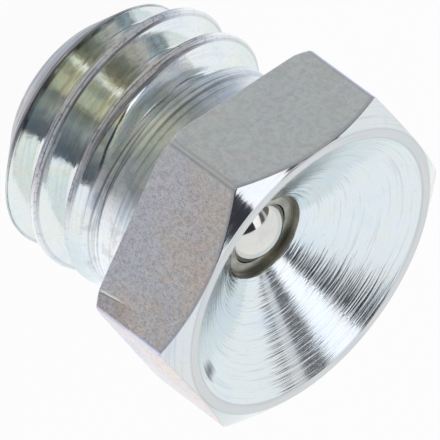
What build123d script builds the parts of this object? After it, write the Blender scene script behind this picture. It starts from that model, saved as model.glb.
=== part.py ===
from build123d import *
import math
import os

# Funnel-type grease nipple: hexagon body, valve ball and valve spring.
# Z = 0 is the shoulder under the hexagon, +Z points out of the funnel, and the axis is X = Y = 0.
# All sizes are in millimetres.

# hexagon head
ACROSS_FLATS = 6.9
HEAD_HEIGHT = 2.35
CORNER_ROUND = 0.12
FRONT_CHAMFER_RADIUS = 3.42
FRONT_CHAMFER_ANGLE = 33.0
REAR_CORNER_BREAK = 0.18
REAR_BREAK_ANGLE = 30.0

# funnel and ball seat
FUNNEL_MOUTH_RADIUS = 3.23
FUNNEL_INCLUDED_ANGLE = 118.0
INLET_RADIUS = 0.98
COUNTERBORE_DEPTH = 0.16
SEAT_LIP_RADIUS = 0.715
SEAT_LAND = 0.02
SEAT_HALF_ANGLE = 36.0

# valve ball
BALL_RADIUS = 0.9
BALL_SEAT_GAP = 0.02
BALL_RUNNING_CLEARANCE = 0.06

# neck and thread
NECK_RADIUS = 2.675
NECK_FILLET = 0.35
NECK_LENGTH = 1.45
RUNOUT_CONE_LENGTH = 0.55
THREAD_RADIUS = 3.0
PITCH = 1.0
THREAD_ANGLE = 60.0
THREAD_DEPTH_PER_PITCH = 0.6134
CREST_FLAT_PER_PITCH = 0.125
CREST_OVERCUT = 0.08
THREAD_END = 4.65
GROOVE_END_DEPTH = 1.65
GROOVE_END_AZIMUTH = -60.0
RUNOUT_TURNS = 0.47

# thread end
END_CHAMFER_ANGLE = 48.5
END_FACE_RADIUS = 1.84
END_ROUND = 0.35
LIP_THICKNESS = 0.4
OUTLET_RADIUS = 0.6

# valve spring
WIRE_RADIUS = 0.125
WIRE_SIDES = 10
SPRING_MEAN_RADIUS = 0.74
SPRING_ACTIVE_TURNS = 4.5
SPRING_END_TURNS = 1.0
SPRING_GAP = 0.02

# worked out from the sizes above
corner_radius = ACROSS_FLATS / 2 / math.cos(math.pi / 6)
funnel_depth = (FUNNEL_MOUTH_RADIUS - INLET_RADIUS) / math.tan(math.radians(FUNNEL_INCLUDED_ANGLE / 2))
inlet_z = HEAD_HEIGHT - funnel_depth
lip_z = inlet_z - COUNTERBORE_DEPTH
land_z = lip_z - SEAT_LAND
seat_half = math.radians(SEAT_HALF_ANGLE)
# a ball touches a cone where its radius stands square on the cone's side
touch_radius = BALL_RADIUS * math.cos(seat_half)
touch_z = land_z - (touch_radius - SEAT_LIP_RADIUS) / math.tan(seat_half)
ball_z = touch_z - BALL_RADIUS * math.sin(seat_half) - BALL_SEAT_GAP
bore_radius = BALL_RADIUS + BALL_RUNNING_CLEARANCE
bore_top_z = land_z - (bore_radius - SEAT_LIP_RADIUS) / math.tan(seat_half)
bore_end_z = -THREAD_END + LIP_THICKNESS
thread_depth = THREAD_DEPTH_PER_PITCH * PITCH
root_radius = THREAD_RADIUS - thread_depth
thread_flank = math.tan(math.radians(THREAD_ANGLE / 2))
# the shank's solid runs on into the head, where the two become one
inside_head = HEAD_HEIGHT / 5


def turned(points, rounds=()):
    """A solid of revolution from (radius, z) points; rounds gives (corner number, fillet radius)."""
    outline = make_face(Polyline(*[(r, 0, z) for r, z in points], close=True))
    for corner, radius in rounds:
        r, z = points[corner]
        near = outline.vertices().sort_by_distance((r, 0, z))[0]
        outline = fillet(near, radius)
    return revolve(outline, Axis.Z)


def chamfer_envelope():
    """The turned form that chamfers the hexagon's front and breaks its rear corners."""
    front_drop = (corner_radius - FRONT_CHAMFER_RADIUS) * math.tan(math.radians(FRONT_CHAMFER_ANGLE))
    rear_rise = REAR_CORNER_BREAK * math.tan(math.radians(REAR_BREAK_ANGLE))
    return turned(
        [
            (0, 0),
            (corner_radius - REAR_CORNER_BREAK, 0),
            (corner_radius, rear_rise),
            (corner_radius, HEAD_HEIGHT - front_drop),
            (FRONT_CHAMFER_RADIUS, HEAD_HEIGHT),
            (0, HEAD_HEIGHT),
        ]
    )


def hexagon_head():
    prism = extrude(RegularPolygon(corner_radius, 6), HEAD_HEIGHT)
    prism = fillet(prism.edges().filter_by(Axis.Z), CORNER_ROUND)
    return prism & chamfer_envelope()


def shank_blank():
    """Neck, run-out cone, thread cylinder and chamfered end, before the thread is cut."""
    chamfer_drop = (THREAD_RADIUS - END_FACE_RADIUS) / math.tan(math.radians(END_CHAMFER_ANGLE))
    return turned(
        [
            (0, -THREAD_END),
            (END_FACE_RADIUS, -THREAD_END),
            (THREAD_RADIUS, -THREAD_END + chamfer_drop),
            (THREAD_RADIUS, -NECK_LENGTH - RUNOUT_CONE_LENGTH),
            (NECK_RADIUS, -NECK_LENGTH),
            (NECK_RADIUS, 0),
            (NECK_RADIUS + 2 * NECK_FILLET, 0),
            (NECK_RADIUS + 2 * NECK_FILLET, inside_head),
            (0, inside_head),
        ],
        rounds=[(1, END_ROUND), (5, NECK_FILLET)],
    )


def groove_section(radius):
    """The thread's V in an axial plane, open past the crest, with its root at the given radius."""
    beyond = thread_depth + CREST_OVERCUT
    crest_half = (1 - CREST_FLAT_PER_PITCH) * PITCH / 2
    root_half = crest_half - thread_depth * thread_flank
    mouth_half = crest_half + CREST_OVERCUT * thread_flank
    return make_face(
        Polyline(
            (radius, 0, -root_half),
            (radius, 0, root_half),
            (radius + beyond, 0, mouth_half),
            (radius + beyond, 0, -mouth_half),
            close=True,
        )
    )


def groove_pieces():
    """The right-hand groove turn by turn up to the run-out, then the part of a turn that rises out of the neck."""
    turn = sweep(groove_section(root_radius), Helix(PITCH, PITCH, root_radius), is_frenet=True)
    turn = Rot(0, 0, GROOVE_END_AZIMUTH) * turn
    turns = math.ceil((THREAD_END - GROOVE_END_DEPTH) / PITCH)
    pieces = [Pos(0, 0, -GROOVE_END_DEPTH - count * PITCH) * turn for count in range(1, turns + 1)]
    rise = NECK_RADIUS - root_radius + CREST_OVERCUT
    slope = math.degrees(math.atan2(rise, RUNOUT_TURNS * PITCH))
    path = Helix(PITCH, RUNOUT_TURNS * PITCH, root_radius, cone_angle=slope)
    runout = sweep(groove_section(root_radius), path, is_frenet=True)
    pieces.append(Rot(0, 0, GROOVE_END_AZIMUTH) * Pos(0, 0, -GROOVE_END_DEPTH) * runout)
    return pieces


def through_bore():
    """Funnel, counterbore, ball seat, ball and spring bore, and the outlet in the rolled end."""
    return turned(
        [
            (0, HEAD_HEIGHT),
            (FUNNEL_MOUTH_RADIUS, HEAD_HEIGHT),
            (INLET_RADIUS, inlet_z),
            (INLET_RADIUS, lip_z),
            (SEAT_LIP_RADIUS, lip_z),
            (SEAT_LIP_RADIUS, land_z),
            (bore_radius, bore_top_z),
            (bore_radius, bore_end_z),
            (OUTLET_RADIUS, bore_end_z),
            (OUTLET_RADIUS, -THREAD_END),
            (0, -THREAD_END),
        ]
    )


def make_body():
    body = hexagon_head() + shank_blank()
    for piece in groove_pieces():
        body = body - piece
    return body - through_bore()


def make_ball():
    return Pos(0, 0, ball_z) * Sphere(BALL_RADIUS)


def half_turn(side, low, rise, twist):
    """Half a turn of the wire, from one side of the axis (+1 or -1) to the other, tilted by its rise.

    The round wire has a few flat sides here, because its coils repeat a small section many times.
    """
    flats = RegularPolygon(WIRE_RADIUS, WIRE_SIDES, major_radius=False, rotation=twist)
    across = Plane(origin=(side * SPRING_MEAN_RADIUS, 0, low), x_dir=(-side, 0, 0), z_dir=(0, side, 0))
    tilted = Axis((0, 0, low + rise / 2), (side * rise, 0, 2 * SPRING_MEAN_RADIUS))
    return revolve(across * flats, tilted, revolution_arc=180)


def make_spring():
    """Compression spring with closed ends, from the rolled lip up to the ball, whose side it touches."""
    rest = math.sqrt((BALL_RADIUS + WIRE_RADIUS) ** 2 - SPRING_MEAN_RADIUS**2)
    top = ball_z - rest - SPRING_GAP
    bottom = bore_end_z + WIRE_RADIUS + SPRING_GAP
    closed = [WIRE_RADIUS + SPRING_GAP / 2] * round(2 * SPRING_END_TURNS)
    active_halves = round(2 * SPRING_ACTIVE_TURNS)
    active_rise = (top - bottom - 2 * sum(closed)) / active_halves
    spring = Part()
    side = 1
    low = bottom
    twist = 180 / WIRE_SIDES
    for rise in closed + [active_rise] * active_halves + closed:
        spring += half_turn(side, low, rise, twist)
        side = -side
        low += rise
        # the tilt turns the section by this much, so the flats of one half turn meet those of the next
        twist -= 2 * math.degrees(math.atan2(rise, 2 * SPRING_MEAN_RADIUS))
    return spring


os.makedirs("parts", exist_ok=True)
for name, piece in (("body", make_body()), ("ball", make_ball()), ("spring", make_spring())):
    export_step(piece, f"parts/{name}.step")
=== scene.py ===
import math
from types import SimpleNamespace

import bmesh
import bpy
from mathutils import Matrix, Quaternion, Vector


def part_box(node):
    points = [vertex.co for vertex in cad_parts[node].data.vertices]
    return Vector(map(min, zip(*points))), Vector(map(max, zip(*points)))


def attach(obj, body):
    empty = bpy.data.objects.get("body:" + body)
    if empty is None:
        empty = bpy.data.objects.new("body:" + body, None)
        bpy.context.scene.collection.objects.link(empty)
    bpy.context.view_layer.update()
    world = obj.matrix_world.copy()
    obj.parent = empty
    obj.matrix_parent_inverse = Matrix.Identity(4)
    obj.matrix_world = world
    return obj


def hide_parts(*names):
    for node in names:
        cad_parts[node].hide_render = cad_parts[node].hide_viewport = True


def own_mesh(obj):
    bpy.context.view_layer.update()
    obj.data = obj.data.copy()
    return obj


# Funnel-type grease nipple: a plated hexagon body with a rolled thread, a valve ball and a valve spring.
# Z = 0 is the shoulder under the hexagon, +Z points out of the funnel, and +X goes through a corner.

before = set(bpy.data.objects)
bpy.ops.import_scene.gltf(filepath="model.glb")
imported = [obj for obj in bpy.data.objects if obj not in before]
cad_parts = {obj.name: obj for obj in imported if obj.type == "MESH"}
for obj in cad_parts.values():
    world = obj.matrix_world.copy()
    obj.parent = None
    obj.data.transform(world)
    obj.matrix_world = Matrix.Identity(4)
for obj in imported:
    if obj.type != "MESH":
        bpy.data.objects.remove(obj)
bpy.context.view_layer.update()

# ---- sizes, in millimetres
# Pieces are modelled in millimetres and brought to metres when they are finished.
MM = 0.001

body_low, body_high = (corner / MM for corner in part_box("body"))
ball_low, ball_high = (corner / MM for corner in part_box("ball"))

# hexagon head
HEXAGON = 6
FLATS = body_high.y - body_low.y
CORNER_RADIUS = FLATS / 2 / math.cos(math.pi / HEXAGON)
CORNER_ROUND = 0.12
HEAD_TOP = body_high.z
CHAMFER_RADIUS = 3.42
FRONT_CHAMFER = math.radians(33)
REAR_BREAK = 0.18
REAR_BREAK_ANGLE = math.radians(30)
EDGE_ROUND = 0.05
RIM_ROUND = 0.03

# funnel, lip, seat and bore
MOUTH_RADIUS = 3.23
FUNNEL_HALF_ANGLE = math.radians(59)
INLET_RADIUS = 0.98
INLET_ROUND = 0.04
COUNTERBORE_DEPTH = 0.16
LIP_RADIUS = 0.715
LIP_ROUND = 0.006
LIP_LAND = 0.02
SEAT_HALF_ANGLE = math.radians(36)
BORE_RADIUS = 0.96
BORE_END = -4.25
OUTLET_RADIUS = 0.6
INLET_Z = HEAD_TOP - (MOUTH_RADIUS - INLET_RADIUS) / math.tan(FUNNEL_HALF_ANGLE)
LIP_Z = INLET_Z - COUNTERBORE_DEPTH
LAND_Z = LIP_Z - LIP_LAND
BORE_TOP = LAND_Z - (BORE_RADIUS - LIP_RADIUS) / math.tan(SEAT_HALF_ANGLE)

# neck, thread and nose
NECK_RADIUS = 2.675
NECK_FILLET = 0.35
NECK_END = -1.45
THREAD_START = -2.0
THREAD_END = body_low.z
CREST_RADIUS = 3.0
PITCH = 1.0
ROOT_RADIUS = CREST_RADIUS - 0.6134 * PITCH
ROOT_HALF = 0.0833
FLANK_ANGLE = math.radians(30)
GROOVE_END = -1.65
GROOVE_END_TURN = -60 / 360
RUNOUT_TURNS = 0.47
RUNOUT_OVERCUT = 0.08
NOSE_ANGLE = math.radians(48.5)
NOSE_RADIUS = 1.84
NOSE_ROUND = 0.35
# two of the thread's walls are rounded into each other where their radii differ by less than this
ROOT_SOFTNESS = 0.06
CREST_SOFTNESS = 0.04
NOSE_SOFTNESS = 0.06
RUNOUT_SOFTNESS = 0.03

# valve ball and spring
BALL_RADIUS = (ball_high.x - ball_low.x) / 2
BALL_Z = (ball_low.z + ball_high.z) / 2
WIRE_RADIUS = 0.125
COIL_RADIUS = 0.74
ACTIVE_TURNS = 4.5
CLOSED_TURNS = 1
SPRING_GAP = 0.02


# ---- node helpers
# a group's inputs and outputs are numbers, apart from these
SOCKET_KINDS = {"Place": "NodeSocketVector", "Colour": "NodeSocketColor"}


def feed(tree, socket, value):
    """Links a socket to another node's output, or sets its own number, vector or (red, green, blue)."""
    if isinstance(value, bpy.types.NodeSocket):
        tree.links.new(value, socket)
    elif socket.type == "RGBA":
        socket.default_value = (*value, 1)
    else:
        socket.default_value = value


def node(tree, kind, *values, **settings):
    """A new node with its settings, and its first inputs linked or set in order (None leaves one alone)."""
    made = tree.nodes.new(kind)
    for name, value in settings.items():
        setattr(made, name, value)
    for socket, value in zip(made.inputs, values):
        if value is not None:
            feed(tree, socket, value)
    return made


def maths(tree, operation, *values):
    return node(tree, "ShaderNodeMath", *values, operation=operation).outputs[0]


def plus(tree, first, second):
    return maths(tree, "ADD", first, second)


def minus(tree, first, second):
    return maths(tree, "SUBTRACT", first, second)


def times(tree, first, *others):
    """The product of two or more numbers."""
    product = first
    for other in others:
        product = maths(tree, "MULTIPLY", product, other)
    return product


def larger(tree, first, second):
    return maths(tree, "MAXIMUM", first, second)


def away_from(tree, value, middle):
    """How far a number is from the middle, to either side."""
    return maths(tree, "ABSOLUTE", minus(tree, value, middle))


def between(tree, value, low, high, to_low=0.0, to_high=1.0, smooth=True):
    """Turns low..high into to_low..to_high and holds the ends."""
    curve = "SMOOTHSTEP" if smooth else "LINEAR"
    made = node(tree, "ShaderNodeMapRange", value, low, high, to_low, to_high, interpolation_type=curve)
    return made.outputs["Result"]


def mixed(tree, made, factor, first, second):
    """Feeds a mix node its factor and what it mixes."""
    feed(tree, made.inputs["Factor"], factor)
    feed(tree, made.inputs["A"], first)
    feed(tree, made.inputs["B"], second)
    return made.outputs["Result"]


def blend(tree, factor, first, second, kind="MIX"):
    """Mixes two colours."""
    made = node(tree, "ShaderNodeMix", data_type="RGBA", blend_type=kind)
    return mixed(tree, made, factor, first, second)


def blend_numbers(tree, factor, first, second):
    made = node(tree, "ShaderNodeMix", data_type="FLOAT")
    return mixed(tree, made, factor, first, second)


def noise(tree, place, scale, detail, roughness, distortion=0.0):
    made = node(tree, "ShaderNodeTexNoise", place, None, scale, detail, roughness)
    made.inputs["Distortion"].default_value = distortion
    return made.outputs["Fac"]


def colour_ramp(tree, factor, stops):
    """stops are (position, (red, green, blue)) pairs."""
    made = node(tree, "ShaderNodeValToRGB", factor)
    ramp = made.color_ramp
    while len(ramp.elements) < len(stops):
        ramp.elements.new(0.5)
    for element, (position, colour) in zip(ramp.elements, stops):
        element.position = position
        element.color = (*colour, 1)
    return made.outputs["Color"]


def colour_along(tree, value, low, high, stops):
    """The colour at a value that runs from low to high; stops are (value, colour) pairs."""
    share = between(tree, value, low, high, smooth=False)
    return colour_ramp(tree, share, [((at - low) / (high - low), colour) for at, colour in stops])


def vector_maths(tree, operation, *values):
    return node(tree, "ShaderNodeVectorMath", *values, operation=operation).outputs


def stretched(tree, place, scale):
    """The place, scaled along each axis."""
    return vector_maths(tree, "MULTIPLY", place, scale)[0]


def flattened(tree, place):
    """The place without its height."""
    return stretched(tree, place, (1, 1, 0))


def length_of(tree, vector):
    return vector_maths(tree, "LENGTH", vector)["Value"]


def reach_along(tree, vector, direction):
    """How far a vector goes in a direction."""
    return vector_maths(tree, "DOT_PRODUCT", vector, direction)["Value"]


def joined(tree, x, y, z):
    return node(tree, "ShaderNodeCombineXYZ", x, y, z).outputs[0]


def split(tree, vector):
    """The vector's X, Y and Z, by name."""
    return node(tree, "ShaderNodeSeparateXYZ", vector).outputs


def new_group(name, inputs, *outputs):
    """An empty node group with a place and other inputs, given with their values, and named outputs."""
    tree = bpy.data.node_groups.new(name, "ShaderNodeTree")

    def new_socket(label, way):
        kind = SOCKET_KINDS.get(label, "NodeSocketFloat")
        return tree.interface.new_socket(name=label, in_out=way, socket_type=kind)

    new_socket("Place", "INPUT")
    for label, value in inputs.items():
        new_socket(label, "INPUT").default_value = value
    for label in outputs:
        new_socket(label, "OUTPUT")
    return tree, tree.nodes.new("NodeGroupInput").outputs, tree.nodes.new("NodeGroupOutput").inputs


def use_group(tree, group, **values):
    """Places a group with its inputs linked or set by name, and gives its outputs."""
    made = tree.nodes.new("ShaderNodeGroup")
    made.node_tree = group
    for label, value in values.items():
        feed(tree, made.inputs[label], value)
    return made.outputs


# ---- shared surface effects
# the thin passivated film on the zinc: pale blue, clear, straw, greenish and lilac
FILM_TINTS = (
    (0.30, (0.88, 0.94, 1.0)),
    (0.45, (0.98, 1.0, 1.0)),
    (0.52, (1.0, 0.98, 0.94)),
    (0.60, (0.95, 1.0, 0.98)),
    (0.72, (0.97, 0.94, 1.0)),
)
# the ways in which handling scratches run: their noise's scale along each axis, and how far it is shifted
SCUFF_WAYS = (((0.5, 6.0, 14.0), 3.0), ((7.0, 0.9, 11.0), 8.0))


def make_ring_place():
    """Where a point lies as radius, turn about the axis (-0.5 to 0.5) and height, in millimetres."""
    tree, inlet, outlet = new_group("ring place", {}, "Radius", "Turn", "Height")
    place = inlet["Place"]
    parts = split(tree, place)
    turn = maths(tree, "DIVIDE", maths(tree, "ARCTAN2", parts["Y"], parts["X"]), math.tau)
    feed(tree, outlet["Radius"], length_of(tree, flattened(tree, place)))
    feed(tree, outlet["Turn"], turn)
    feed(tree, outlet["Height"], parts["Z"])
    return tree


def make_plating_tint():
    """Drifts a zinc colour through the film's tints."""
    tree, inlet, outlet = new_group("plating tint", {"Colour": (1, 1, 1, 1), "Amount": 1.0}, "Colour")
    colour = inlet["Colour"]
    tint = colour_ramp(tree, noise(tree, inlet["Place"], 0.55, 3, 0.55, 0.6), FILM_TINTS)
    tinted = blend(tree, 1.0, colour, tint, "MULTIPLY")
    feed(tree, outlet["Colour"], blend(tree, inlet["Amount"], colour, tinted))
    return tree


def make_fine_grain():
    """Crystalline grain of the zinc, as a height: fine grains on coarser ones."""
    tree, inlet, outlet = new_group("fine grain", {"Size": 0.04}, "Height")
    place = inlet["Place"]
    scale = maths(tree, "DIVIDE", 1.0, inlet["Size"])
    fine = noise(tree, place, scale, 3, 0.6)
    coarse = noise(tree, place, times(tree, scale, 0.35), 2, 0.5)
    feed(tree, outlet["Height"], plus(tree, times(tree, fine, 0.6), times(tree, coarse, 0.4)))
    return tree


def make_scuffs():
    """Short straight handling scratches in two directions: a mask that is 1 in a scratch."""
    tree, inlet, outlet = new_group("scuffs", {"Amount": 0.5}, "Mask")
    place = inlet["Place"]
    masks = []
    for scale, shift in SCUFF_WAYS:
        moved = vector_maths(tree, "ADD", place, (shift, shift, shift))[0]
        lines = noise(tree, stretched(tree, moved, scale), 1.0, 2, 0.5, 0.3)
        masks.append(between(tree, away_from(tree, lines, 0.5), 0.012, 0.0))
    where = between(tree, noise(tree, place, 1.3, 2, 0.5), 0.5, 0.62)
    feed(tree, outlet["Mask"], times(tree, larger(tree, *masks), where, inlet["Amount"]))
    return tree


ring_place = make_ring_place()
plating_tint = make_plating_tint()
fine_grain = make_fine_grain()
scuffs = make_scuffs()


def new_material(name):
    """A material, its node tree and its shader."""
    material = bpy.data.materials.new(name)
    material.use_nodes = True
    return material, material.node_tree, material.node_tree.nodes["Principled BSDF"]


def new_finish(name, roughness, anisotropic=0.0):
    """A metal, its node tree and shader, and the place on the object in millimetres."""
    finish, tree, shader = new_material(name)
    shader.inputs["Metallic"].default_value = 1
    # this plain roughness shows only where the nodes that vary it aren't worked out
    shader.inputs["Roughness"].default_value = roughness
    shader.inputs["Anisotropic"].default_value = anisotropic
    coordinates = node(tree, "ShaderNodeTexCoord").outputs["Object"]
    return finish, tree, shader, stretched(tree, coordinates, (1 / MM, 1 / MM, 1 / MM))


def coat(tree, shader, colour, roughness):
    feed(tree, shader.inputs["Base Color"], colour)
    feed(tree, shader.inputs["Roughness"], roughness)


def raise_surface(tree, shader, *heights):
    """Bumps the surface with (height, depth in millimetres) pairs, one on another."""
    normal = None
    for height, depth in heights:
        bump = node(tree, "ShaderNodeBump")
        bump.inputs["Distance"].default_value = depth * MM
        feed(tree, bump.inputs["Height"], height)
        if normal is not None:
            feed(tree, bump.inputs["Normal"], normal)
        normal = bump.outputs["Normal"]
    feed(tree, shader.inputs["Normal"], normal)


# ---- finish of the hexagon's sides
SIDE_PALE = (0.985, 0.98, 1.0)
SIDE_COOL = (0.95, 0.92, 1.0)
SIDE_WARM = (1.0, 0.885, 0.84)
SIDE_MOTTLE = (0.66, 0.63, 0.70)
SIDE_CLOUD = (0.88, 0.88, 0.94)
SIDE_SPECK = (0.71, 0.69, 0.685)
SIDE_SCUFF = (0.95, 0.96, 0.98)
# painted shade beside each corner and a painted highlight line on its rounding, which begins this far from
# the axis
CORNER_EDGE = CORNER_RADIUS - 0.034
PAINTED_CORNER_SHADE = (0.62, 0.60, 0.66)
PAINTED_CORNER_HIGHLIGHT = (0.80, 0.82, 1.0)
# painted shade on the sides along the front chamfer
PAINTED_CHAMFER_SHADE = (0.60, 0.57, 0.68)
# a scratch on one side: the side's direction, and the scratch's ends as (place along the side, height)
SCRATCH_SIDE = math.radians(30)
SCRATCH_ENDS = ((1.60, 0.03), (1.50, 0.72))
# the painted glint on its wall and the painted shade at its foot: where they lie across it, and how far
# from there they fade out
SCRATCH_LINES = (("Bright", 0.0), ("Painted foot shade", -0.05))
SCRATCH_FADE = (0.045, 0.015)
# colour of the painted shade at the scratch's foot
PAINTED_SCRATCH_SHADE = (0.50, 0.47, 0.46)
BEYOND_SCRATCH = (0.88, 0.83, 0.80)
WHITE = (1, 1, 1)


def make_scratch():
    """One deep straight scratch: a painted glint on its wall, painted shade at its foot, and the strip from
    it to the corner.
    """
    tree, inlet, outlet = new_group("scratch", {}, "Bright", "Painted foot shade", "Beyond")
    place = inlet["Place"]
    side = Vector((math.cos(SCRATCH_SIDE), math.sin(SCRATCH_SIDE), 0))
    on_side = maths(tree, "GREATER_THAN", reach_along(tree, place, tuple(side)), FLATS / 2 - 0.05)
    start, end = (Vector(point) for point in SCRATCH_ENDS)
    length = (end - start).length
    line = (end - start).normalized()
    offsets = []
    for way in (line, Vector((-line.y, line.x))):
        direction = (-side.y * way.x, side.x * way.x, way.y)
        offsets.append(minus(tree, reach_along(tree, place, direction), start.dot(way)))
    along, across = offsets
    beyond = between(tree, across, -0.02, -0.06)
    beyond = times(tree, beyond, between(tree, along, length + 0.5, length - 0.1), on_side)
    feed(tree, outlet["Beyond"], beyond)
    inside = between(tree, along, 0, 0.04)
    inside = times(tree, inside, between(tree, along, length, length - 0.3), on_side)
    for label, middle in SCRATCH_LINES:
        near = between(tree, away_from(tree, across, middle), *SCRATCH_FADE)
        feed(tree, outlet[label], times(tree, inside, near))
    return tree


scratch = make_scratch()


def stained_side(tree, place, parts, clouds):
    """Pale towards -Y and stained warm and cool in patches towards +Y, mottled and clouded."""
    stains = noise(tree, place, 1.1, 3, 0.6, 0.5)
    mottle = noise(tree, place, 7.0, 2, 0.5)
    stained = between(tree, parts["Y"], -0.4, 0.6)
    warm = between(tree, plus(tree, times(tree, parts["Z"], 0.20), stains), 0.56, 0.88)
    ground = blend(tree, stained, SIDE_PALE, blend(tree, warm, SIDE_COOL, SIDE_WARM))
    ground = blend(tree, between(tree, mottle, 0.56, 0.40, 0.0, 0.22), ground, SIDE_MOTTLE)
    cloudy = times(tree, between(tree, clouds, 0.46, 0.62), between(tree, stained, 0, 1, 0.3, 0.6))
    return blend(tree, cloudy, ground, SIDE_CLOUD)


def edged_side(tree, ring, ground):
    """Painted shade close to the corners and the chamfer, with a painted highlight line on each corner."""
    beside_corner = between(tree, ring["Radius"], CORNER_EDGE - 0.03, CORNER_EDGE, 0.0, 0.45)
    ground = blend(tree, beside_corner, ground, PAINTED_CORNER_SHADE)
    on_corner = between(tree, ring["Radius"], CORNER_EDGE, CORNER_EDGE + 0.012)
    ground = blend(tree, on_corner, ground, PAINTED_CORNER_HIGHLIGHT)
    drop = times(tree, minus(tree, ring["Radius"], CHAMFER_RADIUS), math.tan(FRONT_CHAMFER))
    to_chamfer = minus(tree, minus(tree, HEAD_TOP, drop), ring["Height"])
    return blend(tree, between(tree, to_chamfer, 0.10, 0.04, 0.0, 0.5), ground, PAINTED_CHAMFER_SHADE)


def make_drawn_flats():
    """The hexagon's sides: drawn bar under zinc, dull, finely grained and stained in patches."""
    finish, tree, shader, place = new_finish("zinc_on_drawn_flats", 0.42)
    parts = split(tree, place)
    ring = use_group(tree, ring_place, Place=place)
    grain = use_group(tree, fine_grain, Place=place, Size=0.03)["Height"]
    clouds = noise(tree, place, 1.5, 5, 0.66, 0.4)
    # the grain is deepest on the sides towards +X and +Y
    depth = between(tree, parts["Y"], -0.6, 0.8, 0.36, 1.0)
    depth = times(tree, depth, between(tree, parts["X"], -1.6, 0.2, 0.35, 1.0))
    ground = stained_side(tree, place, parts, clouds)
    specks = times(tree, minus(tree, 1.0, between(tree, grain, 0.36, 0.58)), depth)
    ground = blend(tree, specks, ground, SIDE_SPECK, "MULTIPLY")
    marks = use_group(tree, scuffs, Place=place, Amount=0.5)["Mask"]
    # painted shade by the corners and the chamfer, and a painted highlight line on each corner
    ground = edged_side(tree, ring, blend(tree, marks, ground, SIDE_SCUFF))
    deep = use_group(tree, scratch, Place=place)
    ground = blend(tree, deep["Beyond"], ground, BEYOND_SCRATCH, "MULTIPLY")
    # painted shade at the scratch's foot, and a painted white glint on its wall
    ground = blend(tree, times(tree, deep["Painted foot shade"], 0.7), ground, PAINTED_SCRATCH_SHADE)
    tinted = use_group(tree, plating_tint, Place=place, Colour=ground, Amount=0.6)["Colour"]
    colour = blend(tree, deep["Bright"], tinted, WHITE)
    coat(tree, shader, colour, between(tree, clouds, 0.3, 0.7, 0.43, 0.51))
    raise_surface(tree, shader, (clouds, 0.003), (times(tree, grain, depth), 0.010), (deep["Bright"], 0.01))
    return finish


# ---- finish of the turned faces
TURNED_ZINC = (0.82, 0.86, 0.88)
# what the rim's and the chamfer's colour is multiplied with
RIM_GREY = (0.86, 0.82, 0.81)
CHAMFER_GREY = (0.96, 0.93, 0.92)
TOOL_RING = (0.45, 0.47, 0.5)
TURNED_PIT = (0.5, 0.52, 0.55)
# how fine the tool's waves and cuts are across the rings and along them
WAVES = (6, 2, 1)
CUTS = (17, 9, 1)
# painted shade lines along the rim's edges: their radius, half width and strength
PAINTED_RIM_SHADE_LINES = ((MOUTH_RADIUS - 0.015, 0.035, 0.5), (CHAMFER_RADIUS + 0.01, 0.03, 0.3))
PAINTED_RIM_SHADE = (0.48, 0.50, 0.55)
# a dark spot inside the funnel's mouth: its middle, and how narrow it is along each axis
DARK_SPOT = (0.34, 2.92, 2.16)
DARK_SPOT_NARROW = (2.6, 5.5, 3.0)
DARK_SPOT_COLOUR = (0.10, 0.11, 0.15)
# the shading of the funnel and the chamfer is steeper than their meshes by these slopes
FUNNEL_LEAN = 0.148
CHAMFER_LEAN = 0.11
# halfway up the funnel, where the height that leans its shading is zero
FUNNEL_MIDDLE = 2.1


def turned_colour(tree, place, ring, cuts, grain):
    """Zinc greyer on the rim and chamfer, with tool rings, pits, painted shade lines along the rim, and a
    dark spot.
    """
    tinted = use_group(tree, plating_tint, Place=place, Colour=TURNED_ZINC, Amount=0.8)["Colour"]
    outside = between(tree, ring["Radius"], MOUTH_RADIUS - 0.03, MOUTH_RADIUS + 0.02)
    past_rim = between(tree, ring["Radius"], CHAMFER_RADIUS - 0.01, CHAMFER_RADIUS + 0.04)
    greyer = blend(tree, past_rim, RIM_GREY, CHAMFER_GREY)
    colour = blend(tree, outside, tinted, greyer, "MULTIPLY")
    colour = blend(tree, between(tree, cuts, 0.52, 0.75, 0.0, 0.35), colour, TOOL_RING)
    colour = blend(tree, between(tree, grain, 0.45, 0.3, 0.0, 0.25), colour, TURNED_PIT)
    # painted shade along the rim's edges
    for edge, width, strength in PAINTED_RIM_SHADE_LINES:
        away = away_from(tree, ring["Radius"], edge)
        near = between(tree, away, width, width * 0.3, 0.0, strength)
        colour = blend(tree, near, colour, PAINTED_RIM_SHADE)
    from_mark = vector_maths(tree, "SUBTRACT", place, DARK_SPOT)[0]
    reach = length_of(tree, stretched(tree, from_mark, DARK_SPOT_NARROW))
    rubbed = between(tree, plus(tree, reach, times(tree, cuts, 2.2)), 2.35, 1.35, 0.0, 0.9)
    return blend(tree, rubbed, colour, DARK_SPOT_COLOUR)


def turned_lean(tree, place, ring):
    """The height that leans the shading: up the funnel, less towards +X, and down the chamfer."""
    rising = minus(tree, maths(tree, "MINIMUM", ring["Radius"], MOUTH_RADIUS), FUNNEL_MIDDLE)
    rising = times(tree, rising, between(tree, split(tree, place)["X"], -0.9, 0.5, 1.0, 0.1))
    on_chamfer = larger(tree, minus(tree, ring["Radius"], CHAMFER_RADIUS + 0.04), 0.0)
    return minus(tree, times(tree, rising, FUNNEL_LEAN), times(tree, on_chamfer, CHAMFER_LEAN))


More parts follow.
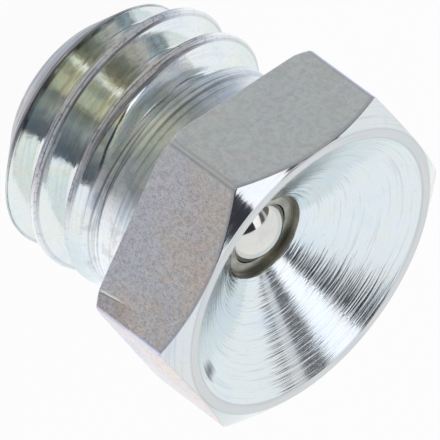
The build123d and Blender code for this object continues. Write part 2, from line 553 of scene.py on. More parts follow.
def make_turned_face():
    """Chamfers, rim and funnel: turned, with fine tool rings that catch the light in short streaks."""
    finish, tree, shader, place = new_finish("zinc_on_turned_faces", 0.18, 0.6)
    ring = use_group(tree, ring_place, Place=place)
    rings_at = joined(tree, ring["Radius"], ring["Turn"], 0.0)
    waves = noise(tree, stretched(tree, rings_at, WAVES), 1.0, 2, 0.5)
    cuts = noise(tree, stretched(tree, rings_at, CUTS), 1.0, 2, 0.6)
    grain = use_group(tree, fine_grain, Place=place, Size=0.05)["Height"]
    dullness = between(tree, grain, 0.3, 0.7, 0.12, 0.19)
    smoother = between(tree, ring["Radius"], CHAMFER_RADIUS, CHAMFER_RADIUS + 0.05, 1.0, 0.5)
    colour = turned_colour(tree, place, ring, cuts, grain)
    coat(tree, shader, colour, times(tree, dullness, smoother))
    outward = vector_maths(tree, "NORMALIZE", flattened(tree, place))[0]
    feed(tree, shader.inputs["Tangent"], outward)
    in_funnel = between(tree, ring["Radius"], MOUTH_RADIUS + 0.06, MOUTH_RADIUS - 0.02, 0.2, 1.0)
    rings = times(tree, minus(tree, cuts, 0.5), in_funnel)
    lean = turned_lean(tree, place, ring)
    raise_surface(tree, shader, (lean, 1.0), (waves, 0.004), (rings, 0.010), (grain, 0.0004))
    return finish


# ---- finish of the thread, neck and nose
FLANK_ZINC = (0.88, 0.90, 0.90)
WORN_ZINC = (0.92, 0.90, 0.98)
# the neck's colour, and the degrees about the axis from which and to which it changes, first to a darker
# painted shade and then to a lighter painted light
NECK_ZINC = (0.87, 0.88, 0.92)
NECK_PAINTED_LIGHT_CHANGES = ((-42, -24, (0.74, 0.80, 0.92)), (6, 24, (0.95, 0.96, 0.99)))
NECK_DENT = (0.60, 0.65, 0.72)
THREAD_SPECK = (0.42, 0.42, 0.46)
# painted shade along the crests' upper edges, on the last flank before the nose, and round the nose
PAINTED_CREST_SHADE = (0.30, 0.29, 0.33)
PAINTED_LAST_FLANK_SHADE = (0.10, 0.10, 0.12)
PAINTED_NOSE_SHADE = (0.12, 0.11, 0.13)
# dark lines, rolling marks on the crests and painted reflections round the neck, and painted highlight
# lines
DARK_MARK_AND_PAINTED_REFLECTION = (0.22, 0.21, 0.245)
PAINTED_HIGHLIGHT_LINE = (0.95, 0.95, 0.97)


def thread_places(tree, place):
    """Where a point lies on the thread, the masks of the crests bared by wear, the neck and the nose, and
    the noises used on them.
    """
    at = SimpleNamespace(place=place, x=split(tree, place)["X"])
    ring = use_group(tree, ring_place, Place=place)
    at.radius, at.turn, at.height = ring["Radius"], ring["Turn"], ring["Height"]
    at.climb = minus(tree, maths(tree, "DIVIDE", at.height, PITCH), at.turn)
    # stronger towards +X; it scales the crests' wear and the painted shade and lines on them
    at.rubbed_side = between(tree, at.x, 1.3, 2.4, 0.35, 1.0)
    at.crest = between(tree, at.radius, CREST_RADIUS - 0.11, CREST_RADIUS - 0.07)
    at.crest = times(tree, at.crest, at.rubbed_side)
    wall = times(tree, minus(tree, at.height, THREAD_END), math.tan(NOSE_ANGLE))
    at.below_wall = minus(tree, plus(tree, wall, NOSE_RADIUS), at.radius)
    at.nose = between(tree, at.below_wall, 0.10, 0.04)
    at.neck = larger(tree, between(tree, at.height, NECK_END - 0.25, NECK_END - 0.05), at.nose)
    at.worn = larger(tree, at.crest, at.neck)
    along = joined(tree, times(tree, at.climb, 22.0), times(tree, at.turn, 9.0), at.radius)
    at.crest_lines = noise(tree, along, 1.0, 3, 0.6)
    round_neck = joined(tree, times(tree, at.height, 11.0), times(tree, at.turn, 3.0), 0.0)
    neck_lines = noise(tree, round_neck, 1.0, 3, 0.55)
    at.lines = blend_numbers(tree, at.neck, at.crest_lines, neck_lines)
    at.calm = between(tree, at.height, NECK_END + 0.35, NECK_END + 0.75, 1.0, 0.35)
    at.dents = noise(tree, place, 2.4, 2, 0.5, 0.3)
    at.grain = use_group(tree, fine_grain, Place=place, Size=0.06)["Height"]
    return at


def thread_ground(tree, at):
    """The zinc on flanks, crests bared by wear, and neck, with painted shade and light round the neck, the
    neck's dents and the specks.
    """
    neck_tone_and_painted_light = NECK_ZINC
    # painted shade and painted light round the neck, by the angle about the axis
    degrees = times(tree, at.turn, 360.0)
    for start, end, colour in NECK_PAINTED_LIGHT_CHANGES:
        neck_tone_and_painted_light = blend(tree, between(tree, degrees, start, end), neck_tone_and_painted_light, colour)
    ground = blend(tree, at.neck, blend(tree, at.worn, FLANK_ZINC, WORN_ZINC), neck_tone_and_painted_light)
    in_dent = times(tree, at.neck, between(tree, at.dents, 0.5, 0.62, 0.0, 0.5))
    ground = blend(tree, in_dent, ground, NECK_DENT)
    tinted = use_group(tree, plating_tint, Place=at.place, Colour=ground, Amount=1.0)["Colour"]
    speckled = blend_numbers(tree, at.neck, between(tree, at.crest, 0, 1, 0.1, 0.75), 0.25)
    specks = times(tree, between(tree, at.grain, 0.50, 0.38), speckled)
    return blend(tree, specks, tinted, THREAD_SPECK)


def thread_edges(tree, at, colour):
    """Painted shade along edges: on the crests' upper side, on the last flank before the nose, and round
    the nose.
    """
    # in pitches up from the middle of the crest
    past_crest = minus(tree, at.climb, GROOVE_END / PITCH - GROOVE_END_TURN)
    past_crest = minus(tree, maths(tree, "FRACT", past_crest), 0.5)
    from_edge = away_from(tree, at.radius, CREST_RADIUS - 0.075)
    crest_edge = times(
        tree,
        between(tree, from_edge, 0.04, 0.02, 0.0, 0.7),
        at.rubbed_side,
        between(tree, past_crest, -0.04, 0.03, 0.15, 1.0),
    )
    colour = blend(tree, crest_edge, colour, PAINTED_CREST_SHADE)
    last_edge = times(
        tree,
        between(tree, at.below_wall, 0.05, 0.09),
        between(tree, at.below_wall, 0.24, 0.15),
        between(tree, at.x, 1.8, 2.6, 0.0, 0.9),
        between(tree, at.dents, 0.4, 0.56, 1.0, 0.55),
    )
    colour = blend(tree, last_edge, colour, PAINTED_LAST_FLANK_SHADE)
    nose_edge = times(
        tree,
        at.nose,
        between(tree, at.radius, CREST_RADIUS - 0.5, CREST_RADIUS - 0.36),
        between(tree, at.crest_lines, 0.68, 0.54, 0.0, 0.9),
        between(tree, at.x, 1.6, 2.5, 0.1, 1.0),
    )
    return blend(tree, nose_edge, colour, PAINTED_NOSE_SHADE)


def thread_streaks(tree, at, colour):
    """Rolling marks on the crests and painted reflections round the neck, as dark lines and painted
    highlight lines, strongest on both.
    """
    dark = times(tree, between(tree, at.lines, 0.52, 0.60), between(tree, at.worn, 0, 1, 0.12, 0.8))
    dark = times(tree, dark, times(tree, at.calm, at.rubbed_side))
    colour = blend(tree, dark, colour, DARK_MARK_AND_PAINTED_REFLECTION)
    bright = times(tree, between(tree, at.lines, 0.44, 0.34), between(tree, at.worn, 0, 1, 0.0, 0.8))
    return blend(tree, times(tree, bright, at.calm), colour, PAINTED_HIGHLIGHT_LINE)


def make_rolled_thread():
    """Thread, neck and nose: rolled, a mirror on the flanks, dull and lined on the crests and neck."""
    finish, tree, shader, place = new_finish("zinc_on_rolled_thread", 0.1)
    at = thread_places(tree, place)
    colour = thread_streaks(tree, at, thread_edges(tree, at, thread_ground(tree, at)))
    dullness = between(tree, at.grain, 0.3, 0.7, 0.07, 0.13)
    worn_dullness = blend_numbers(tree, at.neck, times(tree, at.crest, 0.52), 0.30)
    coat(tree, shader, colour, plus(tree, dullness, worn_dullness))
    roughed = plus(tree, between(tree, at.worn, 0, 1, 0.15, 1.0), times(tree, at.nose, 2.0))
    line_height = times(tree, at.lines, at.calm, roughed)
    raise_surface(tree, shader, (at.dents, 0.006), (line_height, 0.018), (at.grain, 0.0012))
    return finish


# ---- finish of the bore, ball and spring
# the bore's dark colours are partly thin plating over drilled steel and partly painted shade in the recess
BORE_ZINC_AND_PAINTED_SHADE = (0.46, 0.455, 0.38)
BORE_PATCH = (0.34, 0.325, 0.30)
BORE_RING = (0.12, 0.11, 0.09)
BALL_STEEL = (0.78, 0.76, 0.71)
BALL_SMEAR = (0.71, 0.69, 0.66)
WIRE_STEEL = (0.5, 0.5, 0.52)
WIRE_LINE = (0.3, 0.29, 0.3)
# how fine the drill's rings and the wire's lines are along each of their directions
DRILL_RINGS = (30, 30, 1)
WIRE_LINES = (1, 40, 30)


def make_bare_bore():
    """Counterbore, seat and bore: thin plating over drilled steel, a little yellow, darkened by painted
    shade.
    """
    finish, tree, shader, place = new_finish("thin_zinc_and_painted_shade_in_bore", 0.3)
    ring = use_group(tree, ring_place, Place=place)
    rings_at = joined(tree, ring["Radius"], ring["Height"], times(tree, ring["Turn"], 2.0))
    rings = noise(tree, stretched(tree, rings_at, DRILL_RINGS), 1.0, 2, 0.5)
    patches = noise(tree, place, 1.8, 3, 0.5)
    ground = blend(tree, between(tree, patches, 0.4, 0.62), BORE_ZINC_AND_PAINTED_SHADE, BORE_PATCH)
    ringed = blend(tree, between(tree, rings, 0.5, 0.7, 0, 0.6), ground, BORE_RING)
    coat(tree, shader, ringed, between(tree, patches, 0.3, 0.7, 0.24, 0.38))
    raise_surface(tree, shader, (rings, 0.002))
    return finish


def make_polished_ball():
    finish, tree, shader, place = new_finish("polished_ball_steel", 0.08)
    smears = noise(tree, place, 2.2, 3, 0.55, 0.5)
    grain = use_group(tree, fine_grain, Place=place, Size=0.05)["Height"]
    smeared = blend(tree, between(tree, smears, 0.35, 0.7), BALL_STEEL, BALL_SMEAR)
    coat(tree, shader, smeared, between(tree, smears, 0.3, 0.7, 0.05, 0.12))
    raise_surface(tree, shader, (grain, 0.0003))
    return finish


def make_spring_wire():
    finish, tree, shader, place = new_finish("drawn_spring_wire", 0.3)
    ring = use_group(tree, ring_place, Place=place)
    along = joined(tree, times(tree, ring["Turn"], 3.0), ring["Radius"], ring["Height"])
    lines = noise(tree, stretched(tree, along, WIRE_LINES), 1.0, 2, 0.5)
    lined = blend(tree, between(tree, lines, 0.4, 0.7), WIRE_STEEL, WIRE_LINE)
    coat(tree, shader, lined, between(tree, lines, 0.3, 0.7, 0.25, 0.4))
    raise_surface(tree, shader, (lines, 0.002))
    return finish


FINISHES = {
    "flats": make_drawn_flats(),
    "turned": make_turned_face(),
    "thread": make_rolled_thread(),
    "bore": make_bare_bore(),
}
ball_finish = make_polished_ball()
wire_finish = make_spring_wire()

# ---- mesh helpers
ORIGIN = (0, 0, 0)
UP = (0, 0, 1)
# vertices closer than this are one
SAME_PLACE = 1e-4
# an edge that turns by more than this stays sharp
SHARP_TURN = math.radians(38)
# a rounding has a row of faces this long at each side, and takes at most this share of the sides it joins
SUPPORT = 0.015
SUPPORT_SHARE = 0.05
ROUND_SHARE = 0.45


def only_verts(items):
    return [item for item in items if isinstance(item, bmesh.types.BMVert)]


def everything(bm):
    return bm.verts[:] + bm.edges[:] + bm.faces[:]


def spun(bm, geom, angle, steps, rise=0.0):
    """Spins geometry about the axis, rising by this much at each step, and returns the last of it."""
    made = bmesh.ops.spin(
        bm, geom=geom, cent=ORIGIN, axis=UP, dvec=(0, 0, rise), angle=angle, steps=steps, use_merge=False
    )
    return made["geom_last"]


def vertex_chain(bm, points):
    """Vertices and edges through (radius, z) points in the XZ plane, numbered from 0 in the layer "row"."""
    row = bm.verts.layers.int.get("row") or bm.verts.layers.int.new("row")
    chain = []
    for number, (r, z) in enumerate(points):
        vert = bm.verts.new((r, 0, z))
        vert[row] = number
        chain.append(vert)
    edges = [bm.edges.new(pair) for pair in zip(chain, chain[1:])]
    return chain + edges


def rounded(corners):
    """The outline through (radius, z) corners; one given as (radius, z, size, steps) is rounded.

    A row close to each side of a rounding keeps the shading of the face beside it flat.
    """
    outline = []
    for number, (r, z, *rounding) in enumerate(corners):
        here = Vector((r, z))
        if not rounding:
            outline.append(here)
            continue
        size, steps = rounding
        before = Vector(corners[number - 1][:2]) - here
        after = Vector(corners[number + 1][:2]) - here
        turn = math.pi - before.angle(after)
        reach = min(size * math.tan(turn / 2), ROUND_SHARE * before.length, ROUND_SHARE * after.length)
        support = min(SUPPORT, SUPPORT_SHARE * before.length, SUPPORT_SHARE * after.length)
        start = here + before.normalized() * reach
        end = here + after.normalized() * reach
        outline.append(start + before.normalized() * support)
        for step in range(steps + 1):
            t = step / steps
            outline.append(start * (1 - t) ** 2 + here * 2 * t * (1 - t) + end * t**2)
        outline.append(end + after.normalized() * support)
    return outline


def place_on_axis(vert, radius, z):
    """Moves a vertex to this distance from the axis and this height, in the direction it already has."""
    flat = Vector((vert.co.x, vert.co.y)).normalized() * radius
    vert.co = (flat.x, flat.y, z)


def grow_rings(bm, edges, points):
    """Extrudes a closed loop of edges through rings of (radius, z)."""
    for radius, z in points:
        grown = bmesh.ops.extrude_edge_only(bm, edges=edges)["geom"]
        ring = set(only_verts(grown))
        for vert in ring:
            place_on_axis(vert, radius, z)
        edges = [item for item in grown if isinstance(item, bmesh.types.BMEdge) and set(item.verts) <= ring]


def open_edges(bm, z):
    """The open edges that lie at this height."""
    return [
        edge
        for edge in bm.edges
        if edge.is_boundary and all(abs(vert.co.z - z) < SAME_PLACE for vert in edge.verts)
    ]


def into_scene(bm, name):
    """Puts a finished mesh into the scene as an object."""
    mesh = bpy.data.meshes.new(name)
    bm.to_mesh(mesh)
    bm.free()
    made = bpy.data.objects.new(name, mesh)
    bpy.context.scene.collection.objects.link(made)
    return made


def finish_piece(bm, name, body, *nodes):
    """Turns the millimetre mesh into a shaded object in metres that rides on its body."""
    bmesh.ops.recalc_face_normals(bm, faces=bm.faces)
    for face in bm.faces:
        face.smooth = True
    for edge in bm.edges:
        edge.smooth = not (edge.is_manifold and edge.calc_face_angle() > SHARP_TURN)
    bmesh.ops.scale(bm, vec=(MM, MM, MM), verts=bm.verts)
    piece = into_scene(bm, name)
    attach(piece, body)
    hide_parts(*nodes)
    return piece


# ---- body: head, funnel and bore
def hexagon_radius(angle):
    """The rounded hexagon's radius in this direction; the corners are at 0, 60, 120 ... degrees."""
    sector = math.tau / HEXAGON
    turn = abs((angle + sector / 2) % sector - sector / 2)
    centre = (FLATS / 2 - CORNER_ROUND) / math.cos(sector / 2)
    across = centre * math.sin(turn)
    flat = FLATS / 2 / math.cos(sector / 2 - turn)
    if across < CORNER_ROUND / 2 * math.cos(turn):
        return min(flat, centre * math.cos(turn) + math.sqrt(CORNER_ROUND**2 - across**2))
    return flat


def head_outline(wall):
    """The outline from the shoulder, round the head, down the funnel and bore to the end face."""
    break_start = CORNER_RADIUS - REAR_BREAK
    broken = max(wall - break_start, 0)
    inset = 0.05
    funnel_rows = 12
    corners = [
        (NECK_RADIUS + 1.5 * NECK_FILLET, 0),
        (min(break_start, wall - inset), 0),
        (wall, broken * math.tan(REAR_BREAK_ANGLE), EDGE_ROUND + broken, 5),
        (wall, HEAD_TOP * 0.35),
        (wall, HEAD_TOP * 0.65),
        (wall, HEAD_TOP - (wall - CHAMFER_RADIUS) * math.tan(FRONT_CHAMFER), EDGE_ROUND, 5),
        (CHAMFER_RADIUS, HEAD_TOP, RIM_ROUND, 3),
        (MOUTH_RADIUS, HEAD_TOP, RIM_ROUND, 4),
    ]
    for row in range(1, funnel_rows):
        t = row / funnel_rows
        radius = MOUTH_RADIUS + (INLET_RADIUS - MOUTH_RADIUS) * t
        corners.append((radius, HEAD_TOP + (INLET_Z - HEAD_TOP) * t))
    corners += [
        (INLET_RADIUS, INLET_Z, INLET_ROUND, 4),
        (INLET_RADIUS, LIP_Z),
        (LIP_RADIUS, LIP_Z, LIP_ROUND, 2),
        (LIP_RADIUS, LAND_Z),
        (BORE_RADIUS, BORE_TOP),
        (BORE_RADIUS, BORE_END),
        (OUTLET_RADIUS, BORE_END),
        (OUTLET_RADIUS, THREAD_END),
        (OUTLET_RADIUS + inset, THREAD_END),
    ]
    return rounded(corners)


def spin_head(bm):
    """Spins the head's outline, in close steps at the hexagon's corners, and shapes each column to it."""
    half_corner = math.radians(0.9)
    support = math.radians(0.25)
    flat = math.tau / HEXAGON - 2 * half_corner - 2 * support
    geom = vertex_chain(bm, head_outline(FLATS))
    to_start = Quaternion(UP, -half_corner).to_matrix()
    bmesh.ops.rotate(bm, verts=only_verts(geom), matrix=to_start)
    for angle, steps in ((2 * half_corner, 8), (support, 1), (flat, 32), (support, 1)) * HEXAGON:
        geom = spun(bm, geom, angle, steps)
    bmesh.ops.remove_doubles(bm, verts=bm.verts, dist=SAME_PLACE)
    row = bm.verts.layers.int["row"]
    outlines = {}
    for vert in bm.verts:
        wall = round(hexagon_radius(math.atan2(vert.co.y, vert.co.x)), 6)
        if wall not in outlines:
            outlines[wall] = head_outline(wall)
        radius, z = outlines[wall][vert[row]]
        place_on_axis(vert, radius, z)


# ---- body: neck, thread and nose
def soft_min(a, b, softness):
    """The lesser of two lengths, rounded where they differ by less than the softness."""
    overlap = max(softness - abs(a - b), 0) / softness
    return min(a, b) - overlap * overlap * softness / 4


def nose_wall(z):
    """The radius of the nose's cone at this height."""
    return NOSE_RADIUS + (z - THREAD_END) * math.tan(NOSE_ANGLE)


def blank_radius(z):
    """The turned blank under the thread: nose chamfer, crest cylinder, run-out cone and neck."""
    runout = NECK_RADIUS + (NECK_END - z) * (CREST_RADIUS - NECK_RADIUS) / (NECK_END - THREAD_START)
    radius = soft_min(CREST_RADIUS, nose_wall(z), NOSE_SOFTNESS)
    return soft_min(radius, max(runout, NECK_RADIUS), RUNOUT_SOFTNESS)


def groove_radius(z, turn):
    """The groove's wall at this height; turn is the angle about the axis in turns."""
    climb = (z - GROOVE_END) / PITCH - (turn - GROOVE_END_TURN)
    groove = math.floor(climb + 0.5)
    offset = abs(climb - groove) * PITCH
    past_end = groove + turn - GROOVE_END_TURN
    rise = NECK_RADIUS - ROOT_RADIUS + RUNOUT_OVERCUT
    root = ROOT_RADIUS + max(past_end, 0) / RUNOUT_TURNS * rise
    flank = root + (offset - ROOT_HALF) / math.tan(FLANK_ANGLE)
    return -soft_min(-root, -flank, ROOT_SOFTNESS)


def thread_template():
    """One pitch of the thread at angle 0, from groove centre to groove centre, as (radius, z) points."""
    # close together at the root's and the crest's roundings, as shares of the pitch
    root_and_flank = [0, 0.03, 0.06, 0.085, 0.11, 0.14, 0.18, 0.22, 0.26, 0.3, 0.34, 0.37]
    crest = [0.395, 0.415, 0.43, 0.445, 0.46, 0.48]
    half = [share * PITCH for share in root_and_flank + crest]
    offsets = half + [PITCH / 2] + [PITCH - offset for offset in reversed(half)]
    centre = GROOVE_END - GROOVE_END_TURN * PITCH
    return [(CREST_RADIUS, centre + offset) for offset in offsets]


def spin_thread(bm):
    """Spins the template along the helix, cuts it off at both ends and gives it the thread's form."""
    steps = 240
    turns = 5
    neck_cut = NECK_END + 0.58
    nose_cut = THREAD_END + 0.38
    spun(bm, vertex_chain(bm, thread_template()), math.tau, steps, PITCH / steps)
    one_turn = everything(bm)
    for turn in range(1, turns):
        copied = bmesh.ops.duplicate(bm, geom=one_turn)["geom"]
        bmesh.ops.translate(bm, verts=only_verts(copied), vec=(0, 0, -turn * PITCH))
    bmesh.ops.remove_doubles(bm, verts=bm.verts, dist=10 * SAME_PLACE)
    for height, side in ((neck_cut, 1), (nose_cut, -1)):
        cut = {"plane_co": (0, 0, height), "plane_no": (0, 0, side)}
        bmesh.ops.bisect_plane(bm, geom=everything(bm), dist=SAME_PLACE, clear_outer=True, **cut)
    for vert in bm.verts:
        turn = math.atan2(vert.co.y, vert.co.x) / math.tau
        wall = groove_radius(vert.co.z, turn)
        place_on_axis(vert, soft_min(wall, blank_radius(vert.co.z), CREST_SOFTNESS), vert.co.z)
    neck = [(NECK_RADIUS, neck_cut), (NECK_RADIUS, 0, NECK_FILLET, 10), (NECK_RADIUS + 2 * NECK_FILLET, 0)]
    grow_rings(bm, open_edges(bm, neck_cut), rounded(neck)[1:-1])
    nose = [
        (nose_wall(nose_cut), nose_cut),
        (NOSE_RADIUS, THREAD_END, NOSE_ROUND, 10),
        (OUTLET_RADIUS, THREAD_END),
    ]
    grow_rings(bm, open_edges(bm, nose_cut), rounded(nose)[1:-1])


def finish_of_face(face):
    """Which of the body's finishes a face takes, from its place and the way it faces."""
    middle = face.calc_center_median()
    radius = math.hypot(middle.x, middle.y)
    # 1 where it faces straight away from the axis, and -1 where it faces the axis
    facing_out = (middle.x * face.normal.x + middle.y * face.normal.y) / radius
    in_bore = radius < INLET_RADIUS and middle.z > THREAD_END + 0.05
    under_head = middle.z > -0.01 and radius > NECK_RADIUS + NECK_FILLET
    if in_bore or facing_out < -0.9:
        return "bore"
    if middle.z > 0 and facing_out > 0.8:
        return "flats"
    if under_head or middle.z > HEAD_TOP / 3:
        return "turned"
    return "thread"


def make_body():
    """The shank and the head, joined at the shoulder and round the outlet."""
    bm = bmesh.new()
    spin_thread(bm)
    shank = bpy.data.meshes.new("shank")
    bm.to_mesh(shank)
    bm.free()
    bm = bmesh.new()
    spin_head(bm)
    bm.from_mesh(shank)
    bpy.data.meshes.remove(shank)
    for height in (0, THREAD_END):
        bmesh.ops.bridge_loops(bm, edges=open_edges(bm, height))
    bmesh.ops.recalc_face_normals(bm, faces=bm.faces)
    names = list(FINISHES)
    for face in bm.faces:
        face.material_index = names.index(finish_of_face(face))
    body = finish_piece(bm, "nipple_body", "nipple", "body")
    for finish in FINISHES.values():
        body.data.materials.append(finish)


# ---- ball and spring
def make_ball():
    bm = bmesh.new()
    bmesh.ops.create_icosphere(bm, subdivisions=6, radius=BALL_RADIUS)
    bmesh.ops.translate(bm, verts=bm.verts, vec=(0, 0, BALL_Z))
    ball = finish_piece(bm, "valve_ball", "valve_ball", "ball")
    ball.data.materials.append(ball_finish)


def make_spring():
    """Round wire coiled with a closed turn at each end, between the rolled lip and the ball."""
    steps_per_turn = 48
    rest = math.sqrt((BALL_RADIUS + WIRE_RADIUS) ** 2 - COIL_RADIUS**2)
    top = BALL_Z - rest - SPRING_GAP
    bottom = BORE_END + WIRE_RADIUS + SPRING_GAP
    closed_rise = 2 * WIRE_RADIUS + SPRING_GAP
    active_rise = top - bottom - 2 * closed_rise
    closed = (CLOSED_TURNS, closed_rise)
    bm = bmesh.new()
    section = bmesh.ops.create_circle(bm, cap_ends=True, radius=WIRE_RADIUS, segments=12)["verts"]
    upright = Quaternion((1, 0, 0), math.pi / 2).to_matrix()
    bmesh.ops.rotate(bm, verts=section, cent=ORIGIN, matrix=upright)
    bmesh.ops.translate(bm, verts=section, vec=(COIL_RADIUS, 0, bottom))
    end = everything(bm)
    for turns, rise in (closed, (ACTIVE_TURNS, active_rise), closed):
        steps = round(steps_per_turn * turns)
        end = spun(bm, end, math.tau * turns, steps, rise / steps)
    spring = finish_piece(bm, "valve_spring", "nipple", "spring")
    spring.data.materials.append(wire_finish)
    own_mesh(spring)


make_body()
make_ball()
make_spring()

# ---- camera
# the square picture's side and the lens's focal length, in picture points
PICTURE_POINTS = 440
FOCAL_POINTS = 12000
SENSOR_WIDTH = 36
# where the lens stands, seen from what it looks at, how it is rolled, and the millimetres between them
CAMERA_AZIMUTH = math.radians(6.123)
CAMERA_ELEVATION = math.radians(29.66)
CAMERA_ROLL = math.radians(126.731)
CAMERA_DISTANCE = 246.925
CAMERA_TARGET = Vector((-0.0432, 0.2625, -0.1238))


def make_camera():
    data = bpy.data.cameras.new("camera")
    data.sensor_width = SENSOR_WIDTH
    data.lens = SENSOR_WIDTH * FOCAL_POINTS / PICTURE_POINTS
    data.clip_start = 10 * MM
    data.clip_end = 2000 * MM
    camera = bpy.data.objects.new("camera", data)
    level = math.cos(CAMERA_ELEVATION)
    back = Vector(
        (level * math.cos(CAMERA_AZIMUTH), level * math.sin(CAMERA_AZIMUTH), math.sin(CAMERA_ELEVATION))
    )
    camera.rotation_mode = "QUATERNION"
    camera.rotation_quaternion = (-back).to_track_quat("-Z", "Y") @ Quaternion(UP, CAMERA_ROLL)
    camera.location = (CAMERA_TARGET + back * CAMERA_DISTANCE) * MM
    bpy.context.scene.collection.objects.link(camera)
    bpy.context.scene.camera = camera


make_camera()
bpy.context.scene.view_settings.view_transform = "Standard"

# ---- floor
FLOOR_SIZE = 300
FLOOR_GREY = (0.8, 0.8, 0.8)
FLOOR_ROUGHNESS = 0.9
# share of the floor that is plain white to the lens; the rest is lit, and takes the shadow
FLOOR_WHITE = 0.95


def make_floor():
    """A pale floor under the thread's end, nearly white to the lens and hidden from reflections."""
    bm = bmesh.new()
    bmesh.ops.create_grid(bm, x_segments=1, y_segments=1, size=FLOOR_SIZE * MM)
    bmesh.ops.translate(bm, verts=bm.verts, vec=(0, 0, THREAD_END * MM))
    floor = into_scene(bm, "floor")
    paint, tree, shader = new_material("pale_floor")
    coat(tree, shader, FLOOR_GREY, FLOOR_ROUGHNESS)
    white = node(tree, "ShaderNodeEmission", WHITE, 1.0)
    rays = node(tree, "ShaderNodeLightPath").outputs
    seen = larger(tree, rays["Is Camera Ray"], rays["Is Glossy Ray"])
    seen = larger(tree, seen, rays["Is Transmission Ray"])
    share = times(tree, seen, FLOOR_WHITE)
    surface = node(tree, "ShaderNodeMixShader", share, shader.outputs[0], white.outputs[0])
    feed(tree, tree.nodes["Material Output"].inputs["Surface"], surface.outputs[0])
    floor.data.materials.append(paint)
    floor.visible_glossy = False


# ---- light
# the tent's walls and ceiling: the direction's height, from -1 to 1, and colour
TENT = (
    (-0.90, (0.62, 0.61, 0.64)),
    (-0.66, (0.78, 0.77, 0.80)),
    (-0.56, (1.12, 1.12, 1.12)),
    (-0.40, (1.08, 1.08, 1.08)),
    (-0.25, (0.90, 0.95, 0.95)),
    (0.05, (0.86, 0.91, 0.91)),
    (0.30, (0.92, 0.95, 0.97)),
    (0.90, (0.92, 0.95, 0.98)),
)
# the tent's opening: its sides in degrees about the axis, a direction square to its top, and their blur
OPENING_LEFT = -101
OPENING_RIGHT = 61
OPENING_TOP = (1.0, -0.34, -0.17)
SIDE_BLUR = 1.5
TOP_BLUR = 0.015
# the room seen low through the opening: direction in degrees about the axis, and colour
LOW_ROOM = (
    (-106, (0.36, 0.44, 0.52)),
    (-84, (0.30, 0.37, 0.44)),
    (-74, (0.54, 0.57, 0.63)),
    (-62, (0.48, 0.50, 0.52)),
    (-52, (0.26, 0.27, 0.24)),
    (-34, (0.21, 0.21, 0.165)),
    (-27, (0.32, 0.31, 0.24)),
    (-25, (0.95, 0.93, 0.82)),
    (-19, (0.95, 0.93, 0.82)),
    (-17, (0.50, 0.47, 0.33)),
    (2, (0.54, 0.52, 0.37)),
    (8, (0.45, 0.44, 0.33)),
    (12, (0.24, 0.26, 0.25)),
    (28, (0.33, 0.36, 0.35)),
    (36, (0.22, 0.25, 0.27)),
    (44, (0.14, 0.165, 0.195)),
    (61, (0.12, 0.14, 0.175)),
)
# how the low room's colours drift from place to place
ROOM_DRIFT = (
    (0.36, (0.62, 0.72, 0.86)),
    (0.46, (1.0, 1.02, 1.0)),
    (0.54, (1.08, 1.06, 0.96)),
    (0.64, (0.74, 0.66, 0.56)),
)
# below this height of the direction the room's floor brightens it by this much
ROOM_FLOOR = -0.62
ROOM_FLOOR_BLUR = 0.08
ROOM_FLOOR_GAIN = 1.7
# bars high in the room: the way they are counted off, their edges in that count, and their colours
BAR_WAY = (1.022, 1.0, 0.0)
LAST_BAR_EDGE = (-1.02, -0.98)
HIGH_ROOM = (
    (LAST_BAR_EDGE[0], (0.16, 0.15, 0.14)),
    (LAST_BAR_EDGE[1], (0.66, 0.63, 0.64)),
    (-0.70, (0.66, 0.63, 0.64)),
    (-0.66, (0.12, 0.115, 0.125)),
    (-0.27, (0.12, 0.115, 0.125)),
    (-0.23, (1.2, 1.21, 1.28)),
)
# the first bar begins square to this direction
FIRST_BAR_WAY = (0.4, 1.0, -0.035)
FIRST_BAR_BLUR = 0.012
FIRST_BAR = (0.04, 0.04, 0.055)
# the heights between which the low room turns into the high one, and how much lower past the last bar
ROOM_CHANGE = (0.62, 0.74)
LAST_BAR_DROP = 0.4


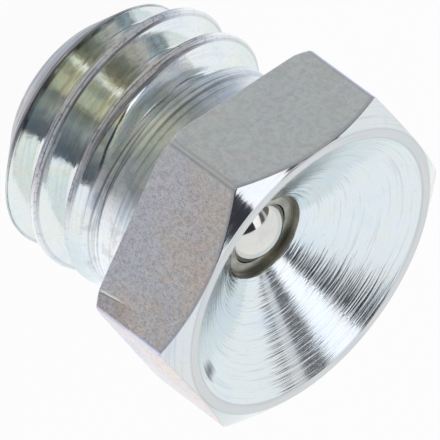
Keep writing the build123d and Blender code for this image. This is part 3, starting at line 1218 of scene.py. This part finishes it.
def low_room(tree, direction, azimuth, height):
    """The room low through the opening: colours by direction, uneven, and brighter near its floor."""
    colour = colour_along(tree, azimuth, -180, 180, LOW_ROOM)
    drift = colour_ramp(tree, noise(tree, direction, 7.0, 2, 0.5), ROOM_DRIFT)
    colour = blend(tree, 1.0, colour, drift, "MULTIPLY")
    uneven = between(tree, noise(tree, direction, 4.0, 3, 0.6), 0.3, 0.7, 0.72, 1.25)
    edges = (ROOM_FLOOR + ROOM_FLOOR_BLUR, ROOM_FLOOR - ROOM_FLOOR_BLUR)
    near_floor = between(tree, height, *edges, 1.0, ROOM_FLOOR_GAIN)
    return stretched(tree, colour, times(tree, uneven, near_floor))


def whole_room(tree, direction, azimuth, height):
    """The low room with the high room and its bars above it."""
    bars = maths(tree, "DIVIDE", reach_along(tree, direction, BAR_WAY), larger(tree, height, 0.05))
    high_room = colour_along(tree, bars, -2, 2, HIGH_ROOM)
    first = reach_along(tree, direction, FIRST_BAR_WAY)
    in_first_bar = between(tree, first, -FIRST_BAR_BLUR, FIRST_BAR_BLUR)
    high_room = blend(tree, in_first_bar, high_room, FIRST_BAR)
    past_last_bar = between(tree, bars, *reversed(LAST_BAR_EDGE), 0.0, LAST_BAR_DROP)
    is_high = between(tree, plus(tree, height, past_last_bar), *ROOM_CHANGE)
    return blend(tree, is_high, low_room(tree, direction, azimuth, height), high_room)


def in_opening(tree, direction, azimuth):
    """A mask of the directions in which the tent is open."""
    past_left = between(tree, azimuth, OPENING_LEFT - SIDE_BLUR, OPENING_LEFT + SIDE_BLUR)
    before_right = between(tree, azimuth, OPENING_RIGHT + SIDE_BLUR, OPENING_RIGHT - SIDE_BLUR)
    under_top = between(tree, reach_along(tree, direction, OPENING_TOP), -TOP_BLUR, TOP_BLUR)
    return times(tree, past_left, before_right, under_top)


def make_studio_light():
    """A white tent all round, open on the camera's side, where the darker room shows."""
    world = bpy.data.worlds.new("studio")
    bpy.context.scene.world = world
    world.use_nodes = True
    tree = world.node_tree
    direction = node(tree, "ShaderNodeTexCoord").outputs["Generated"]
    parts = split(tree, direction)
    height = parts["Z"]
    azimuth = maths(tree, "DEGREES", maths(tree, "ARCTAN2", parts["Y"], parts["X"]))
    tent = colour_along(tree, height, -1, 1, TENT)
    room = whole_room(tree, direction, azimuth, height)
    colour = blend(tree, in_opening(tree, direction, azimuth), tent, room)
    rays = node(tree, "ShaderNodeLightPath").outputs
    seen = larger(tree, rays["Is Camera Ray"], rays["Is Transmission Ray"])
    feed(tree, tree.nodes["Background"].inputs["Color"], blend(tree, seen, colour, WHITE))


make_floor()
make_studio_light()
